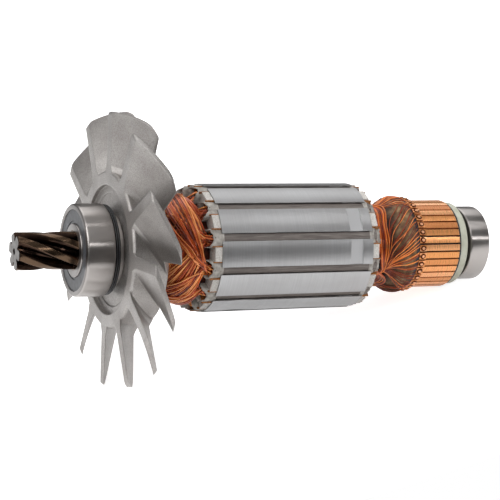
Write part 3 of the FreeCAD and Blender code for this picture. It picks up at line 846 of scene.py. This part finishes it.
def make_front_windings():
    """Coils wound in six opposite pairs, each on top of the one before."""
    wires = Builder()
    mouth_x = CORE_START - 4.0
    dome_x = CORE_START - 4.6
    first = SLOT_PHASE + 5 * SLOT_PITCH
    steps = 30
    for layer in range(LAYERS):
        outer = layer / (LAYERS - 1)
        reach = mix(*FRONT_REACH, outer)
        rise = mix(*FRONT_RISE, outer)
        for side in range(2):
            start = first + layer * SLOT_PITCH + side * 180
            count = 22 if layer > 2 else 17
            for j in range(count):
                v = (j + random.uniform(-0.3, 0.3)) / (count - 1)
                lean = math.radians(mix(*FRONT_LEAN, v))
                depth = mix(*FRONT_DEPTH, outer) + random.uniform(-1.4, 1.4)
                across = random.uniform(-6.0, 6.0)
                power = random.uniform(0.75, 0.95)
                tint = random.random()
                sunk = random.uniform(-0.5, 0.25)
                index = layer * 100 + side * 50 + j
                path = []
                for i in range(steps + 1):
                    t = i / steps
                    bow = math.sin(math.pi * t) ** power
                    psi = lean * bow
                    angle = start + COIL_SPAN * t + wobble(index, t, 2.0)
                    x = dome_x - reach * math.sin(psi)
                    radius = SHAFT_SIDE_RADIUS + rise * math.cos(psi) + sunk + wobble(index + 7, t, 0.5)
                    home = 1 - eased(min(t, 1 - t) / 0.13)
                    side_of = -1 if t > 0.5 else 1
                    mouth = start + (COIL_SPAN if t > 0.5 else 0) + across * side_of
                    angle = mix(angle, mouth, home)
                    radius = mix(radius, depth, home)
                    x = mix(x, mouth_x, home ** 2)
                    path.append(polar(x, angle, radius))
                wires.wire(path, WIRE_RADIUS, tint)
    wires.make("front_windings", "rotor", "enamelled_wire", ["front_coil_heads"])
    # Dark body under the coils, in a painted shade colour, that shows in the gaps between the wires
    heart = Builder()
    heart.lathe([
        (dome_x + 1.5, 9.5), (dome_x - 12.0, 9.5), (dome_x - 11.6, 13.0), (dome_x - 9.5, 16.0),
        (dome_x - 6.0, 18.2), (dome_x - 2.0, 19.2), (dome_x + 1.5, 19.2),
    ])
    heart.make("front_painted_shade_heart", "rotor", "enamelled_wire", material=PAINTED_SHADE_HEART)


make_front_windings()

# Rear windings and lead wires

# Station and radius along the cone of lead wires
DOME = [
    (140.5, 12.5), (147.0, 13.6), (149.0, 14.2), (151.4, 15.6), (153.9, 17.6), (155.8, 18.9),
    (158.0, 19.3), (160.0, 19.1), (161.1, 18.4),
]
LEAD_RADIUS = 0.18
LEAD_END = RISER_START - 0.2
BAND_WIRE_RADIUS = 0.25
DOME_WIRE_STEPS = 7
# Angles where the lead wires come together, and the station they share
GATHER_ANGLES = (11.0, 131.0, 251.0)
GATHER_STATION = 147.2
LEADS_PER_BAR = 3
BAND_WIRES = 15
# Degrees that leads reach back and on from the place where they come together
LEADS_BACK = 112
LEADS_ON = 34


def smooth_path(points, steps):
    """Points on a smooth curve through given points."""
    path = []
    for i in range(len(points) - 1):
        before = points[max(i - 1, 0)]
        after = points[min(i + 2, len(points) - 1)]
        a, b = points[i], points[i + 1]
        for n in range(steps):
            t = n / steps
            path.append(
                a * (1 - 3 * t * t + 2 * t ** 3) + b * (3 * t * t - 2 * t ** 3)
                + (b - before) * 0.5 * (t - 2 * t * t + t ** 3)
                + (after - a) * 0.5 * (t ** 3 - t * t)
            )
    path.append(points[-1])
    return path


def on_dome(x, angle, lift):
    """Straight-frame point on the cone of lead wires, at a height above it."""
    return polar(x, angle, along_profile(DOME, x) + lift)


def dome_wire(wires, places, tint, radius):
    """Wire over the cone through (station, angle, lift) places."""
    spots = smooth_path([Vector(place) for place in places], DOME_WIRE_STEPS)
    wires.wire([on_dome(*spot) for spot in spots], radius, tint)


def make_mouth_bundles():
    """Wires where they leave the slots, between the papers."""
    wires = Builder()
    for slot in range(SLOTS):
        middle = SLOT_PHASE + slot * SLOT_PITCH
        for face, way, reach, count in ((CORE_START, -1, 8.5, 22), (CORE_END, 1, 5.0, 12)):
            for _ in range(count):
                height = random.uniform(18.0, 23.2)
                across = random.uniform(-1, 1) * (0.6 + 0.3 * (height - 18.0))
                swing = random.choice((-1, 1)) * random.uniform(8, 20)
                path = []
                for i in range(10):
                    t = i / 9
                    x = face + way * (1.5 + reach * t * (1 - 0.25 * t))
                    radius = height - (height - 16.0) * t ** 1.6
                    angle = middle - math.degrees(across / height) * (1 - t * t) + swing * t * t
                    path.append(polar(x, angle, radius))
                wires.wire(path, WIRE_RADIUS, random.random())
    wires.make("mouth_wires", "rotor", "enamelled_wire", ["slot_conductors"])


def make_slot_painted_shade_hearts():
    """Wires inside the slots as plain bodies in a dark painted shade colour, which show only far down in
    the mouths.
    """
    hearts = Builder()
    stations = (
        (CORE_START - 2.4, 0.8), (CORE_START - 1.6, 0.88),
        (CORE_END + 1.6, 0.88), (CORE_END + 2.4, 0.8),
    )
    half = [(-1.2, SLOT_BOTTOM)] + CUFF_SECTION[:5]
    outline = half + [(-y, z) for y, z in reversed(half)]
    for slot in range(SLOTS):
        angle = SLOT_PHASE + slot * SLOT_PITCH
        rows = []
        for x, size in stations:
            row = [(y * size, mix(SLOT_BOTTOM, z, size)) for y, z in outline]
            rows.append([slot_point(x, y, z, angle) for y, z in row])
        hearts.grid(rows[::-1], True)
        hearts.add(rows[0], [tuple(reversed(range(len(outline))))])
        hearts.add(rows[-1], [tuple(range(len(outline)))])
    hearts.make("slot_painted_shade_hearts", "rotor", "enamelled_wire", material=PAINTED_SHADE_HEART, smooth=False)


def make_lead_cone():
    """Varnished cone behind the rear windings, lumpy where wires lie under the varnish."""
    cone = Builder()
    rows = []
    turns = 180
    for i in range(61):
        x = mix(DOME[0][0], DOME[-1][0], i / 60)
        row = []
        for n in range(turns):
            angle = -360 * n / turns
            swell = noise.noise(Vector((x * 0.5, angle * 0.11, 3.0)))
            row.append(polar(x, angle, along_profile(DOME, x) + 0.22 * swell))
        rows.append(row)
    rows.append([polar(DOME[-1][0], -360 * n / turns, 16.0) for n in range(turns)])
    cone.grid(rows, True)
    cone.make("lead_cone_surface", "rotor", "varnished_cone", ["lead_cone"])


def make_lead_wires():
    """Lead wires that leave three gathering points and spread to the risers."""
    wires = Builder()
    for gather in GATHER_ANGLES:
        for lead in range(LEADS_PER_BAR * BARS):
            bar = lead / LEADS_PER_BAR + random.uniform(-0.25, 0.25)
            turn = (BAR_PHASE + bar * 360 / BARS - gather + LEADS_BACK) % 360 - LEADS_BACK
            if turn > LEADS_ON:
                continue
            leave = min(turn + random.uniform(30, 48), 0)
            drift = random.uniform(-0.5, 0.5)
            lift = random.uniform(0.0, 0.5)
            places = [
                (CORE_END + 3.4, gather + 12 + random.uniform(-1.5, 1.5), 6.0),
                (GATHER_STATION - 2.0, gather + 6 + random.uniform(-2, 2), 2.6 + lift),
                (GATHER_STATION + drift * 0.4, gather + random.uniform(-2.5, 2.5), 1.4 + lift * 2),
            ]
            if leave < -12:
                places.append((148.6 + drift, gather + leave * 0.45, 1.2 + lift * 2))
                places.append((150.3 + drift, gather + leave, 0.7 + lift))
            x, angle = places[-1][0], places[-1][1] - gather
            places += [
                (mix(x, LEAD_END, 0.42), gather + mix(angle, turn, 0.52), 0.05 + lift * 0.6),
                (mix(x, LEAD_END, 0.75), gather + mix(angle, turn, 0.84), 0.02 + lift * 0.5),
                (LEAD_END, gather + turn, 0.05),
            ]
            dome_wire(wires, places, random.random() ** 1.5, LEAD_RADIUS)
        for strand in range(BAND_WIRES):
            drift = mix(-1.5, 2.3, strand / (BAND_WIRES - 1)) + random.uniform(-0.25, 0.25)
            lift = random.uniform(0.6, 2.0)
            places = [
                (CORE_END + 4.0, gather - 128, 3.6),
                (147.6 + drift, gather - 105, 0.6 + lift),
                (146.4 + drift, gather - 72 + random.uniform(-4, 4), lift),
                (146.2 + drift * 1.1, gather - 42 + random.uniform(-4, 4), 0.2 + lift),
                (146.5 + drift * 0.7, gather - 18, 0.6 + lift),
                (GATHER_STATION + drift * 0.25, gather + random.uniform(-1, 2), 1.2 + lift * 0.7),
                (GATHER_STATION - 2.4, gather + 8 + random.uniform(-2, 2), 3.2),
                (CORE_END + 3.0, gather + 13 + random.uniform(-1.5, 1.5), 6.4),
            ]
            dome_wire(wires, places, random.random(), BAND_WIRE_RADIUS)
    wires.make("lead_wires", "rotor", "enamelled_wire", material=LEADS)


def make_rear_windings():
    """Ends of the coils behind the core, mostly under the lead wires."""
    wires = Builder()
    count = 9
    steps = 24
    for layer in range(LAYERS):
        outer = layer / (LAYERS - 1)
        for side in range(2):
            start = SLOT_PHASE + (5 + layer) * SLOT_PITCH + side * 180
            for j in range(count):
                v = (j + random.uniform(-0.3, 0.3)) / (count - 1)
                lean = math.radians(mix(*REAR_LEAN, v))
                depth = mix(*REAR_DEPTH, outer) + random.uniform(-1.2, 1.2)
                across = random.uniform(-5.0, 5.0)
                index = 900 + layer * 100 + side * 50 + j
                path = []
                for i in range(steps + 1):
                    t = i / steps
                    psi = lean * math.sin(math.pi * t) ** 0.7
                    angle = start + COIL_SPAN * t + wobble(index, t, 2.0)
                    x = CORE_END + 3.6 + mix(*REAR_REACH, outer) * math.sin(psi)
                    radius = SHAFT_SIDE_RADIUS + mix(*REAR_RISE, outer) * math.cos(psi)
                    home = 1 - eased(min(t, 1 - t) / 0.16)
                    side_of = -1 if t > 0.5 else 1
                    mouth = start + (COIL_SPAN if t > 0.5 else 0) + side_of * (across * 0.6 + 5)
                    angle = mix(angle, mouth, home * 0.85)
                    x = mix(x, CORE_END + 3.4, home ** 2)
                    path.append(polar(x, angle, mix(radius, depth, home)))
                wires.wire(path, WIRE_RADIUS, random.random())
    wires.make("rear_windings", "rotor", "enamelled_wire", ["rear_coil_heads"])


# Height, size and tint of each ring of a staked end, from its foot to its top; the low tints at the foot
# and in the groove are painted shade, and the tint grows lighter towards the top
STAKE_RINGS = (
    (0.0, 1.0, 0.1), (0.4, 0.97, 0.6), (0.62, 0.84, 0.75), (0.6, 0.72, 0.02), (0.5, 0.58, 0.02),
    (0.85, 0.44, 0.75), (1.0, 0.3, 0.9),
)
STAKE_SIDES = 14


def stake_ring(station, angle, half_sizes, lean, level):
    """Row of points round a staked end, at a level from 0 at its foot to 1 at its top."""
    row = []
    for n in range(STAKE_SIDES):
        turn = 2 * math.pi * n / STAKE_SIDES
        x = station + half_sizes[0] * math.cos(turn + lean)
        aside = math.degrees(half_sizes[1] * math.sin(turn) / RISER_RADIUS)
        row.append(polar(x, angle - aside, RISER_RADIUS - 0.5 + 1.15 * level))
    return row


def make_staked_ends():
    """Flattened wire ends in the risers, each with a groove round its middle, darkened there and at its
    foot as painted shade.
    """
    ends = Builder()
    for bar in range(BARS):
        middle = BAR_PHASE + bar * 360 / BARS
        along = 1.5 + random.uniform(-0.12, 0.12)
        wide = 1.28 + random.uniform(-0.08, 0.08)
        station = RISER_START + 1.3 + random.uniform(-0.12, 0.12)
        lean = random.uniform(-0.25, 0.25)
        for low, high in zip(STAKE_RINGS, STAKE_RINGS[1:]):
            rows = [
                stake_ring(station, middle, (along * size, wide * size), lean, level)
                for level, size, _ in (low, high)
            ]
            ends.grid(rows, True, (low[2] + high[2]) / 2)
        level, size, _ = STAKE_RINGS[-1]
        lid = stake_ring(station, middle, (along * size, wide * size), 0.0, level)
        ends.add(lid, [tuple(range(STAKE_SIDES))], 0.8)
    ends.make("staked_ends", "rotor", "bar_copper", ["commutator_leads"], STAKED)


# Papers, wedges and boards

# Half of a paper's section, as places across the slot and outwards
CUFF_SECTION = [
    (-1.6, 17.0), (-2.3, 19.2), (-2.9, 21.4), (-3.1, 22.9), (-2.75, 23.75), (-1.5, 24.05), (0.0, 24.1),
]
PAPER_THICKNESS = 0.34
# How far papers stand out over the wires and beside them, their fray, widening and drop
FRONT_CUFF = (3.2, 2.4, 0.7, 0.13, 0.1)
REAR_CUFF = (4.4, 0.3, 0.6, 0.0, 2.0)


def slot_point(x, across, height, angle):
    """Straight-frame point from a place in the cross-section of the slot at an angle."""
    c, s = math.cos(math.radians(angle)), math.sin(math.radians(angle))
    return Vector((x, across * c - height * s, across * s + height * c))


def make_paper_cuffs():
    """Slot papers, which come out of both ends of the core round their wires and fray there."""
    papers = Builder()
    half = CUFF_SECTION + [(-y, z) for y, z in reversed(CUFF_SECTION[:-1])]
    outline = smooth_path([Vector((y, z, 0)) for y, z in half], 3)
    count = len(outline)
    for slot in range(SLOTS):
        angle = SLOT_PHASE + slot * SLOT_PITCH
        for face, way, cuff in ((CORE_START, -1, FRONT_CUFF), (CORE_END, 1, REAR_CUFF)):
            over, beside, frayed, widening, drop = cuff
            rows = []
            for thickness, order in ((0.0, range(7)), (PAPER_THICKNESS, reversed(range(7)))):
                for step in order:
                    row = []
                    for n, spot in enumerate(outline):
                        u = abs(2 * n / (count - 1) - 1)
                        fray = noise.noise(Vector((slot * 5.3 + n * 0.7, face, 1.7)))
                        long = over + beside * eased(u / 0.55) + frayed * fray
                        out = mix(-1.0, long, step / 6)
                        opened = eased(out / 3.0)
                        across = spot.x * (1 + widening * opened) * (1 - thickness / 9)
                        height = spot.y - thickness - drop * opened * opened
                        row.append(slot_point(face + way * out, across, height, angle))
                    rows.append(row if way < 0 else row[::-1])
            papers.grid(rows)
    papers.make("slot_papers", "rotor", "slot_paper", ["slot_liners"])


# Places across a strip, and their heights over the top of the wedge
STRIP_SECTION = (
    (-2.42, -0.75), (-1.65, -0.7), (-1.28, -0.06), (0.0, 0.06),
    (1.28, -0.06), (1.65, -0.7), (2.42, -0.75),
)


def make_wedges():
    """Strips that close the slots, a little crowned, with a groove along each side."""
    strips = Builder()
    width = len(STRIP_SECTION)
    for slot in range(SLOTS):
        angle = SLOT_PHASE + slot * SLOT_PITCH
        start = CORE_START - 2.7 + random.uniform(-0.3, 0.3)
        end = CORE_END + 2.4 + random.uniform(-0.3, 0.3)
        rows = []
        for i in range(25):
            x = mix(start, end, i / 24)
            sway = 0.05 * noise.noise(Vector((x * 0.2, slot * 3.0, 0.0)))
            row = [(y, WEDGE_TOP - 0.02 + z + sway) for y, z in STRIP_SECTION]
            rows.append([slot_point(x, y, z, angle) for y, z in row])
        strips.grid([row[::-1] for row in rows])
        strips.add(rows[0], [tuple(range(width))])
        strips.add(rows[-1], [tuple(reversed(range(width)))])
    strips.make("slot_strips", "rotor", "wedge_fibre", ["slot_wedges"], smooth=False)


def add_block(builder, stations, across, height, angle):
    """Small box from ranges along the shaft, across the tooth and outwards."""
    corners = [slot_point(x, y, z, angle) for x in stations for y in across for z in height]
    faces = [(0, 1, 3, 2), (4, 6, 7, 5), (0, 4, 5, 1), (2, 3, 7, 6), (0, 2, 6, 4), (1, 5, 7, 3)]
    builder.add(corners, faces)


def make_side_boards():
    """Thin brown boards beside the fingers of both end plates."""
    boards = Builder()
    for tooth in range(SLOTS):
        angle = SLOT_PHASE + (tooth + 0.5) * SLOT_PITCH
        for across in ((-3.12, -2.72), (2.72, 3.12)):
            front = CORE_START - 3.2 - random.uniform(0, 0.8)
            rear = CORE_END + 3.4 + random.uniform(0, 1.2)
            add_block(boards, (front, CORE_START), across, (20.0, 24.15), angle)
            add_block(boards, (CORE_END, rear), across, (20.0, 23.6), angle)
    boards.make("side_boards", "rotor", "slot_paper", material=BOARD, smooth=False)


make_mouth_bundles()
make_slot_painted_shade_hearts()
make_lead_cone()
make_rear_windings()
make_lead_wires()
make_staked_ends()
make_paper_cuffs()
make_wedges()
make_side_boards()
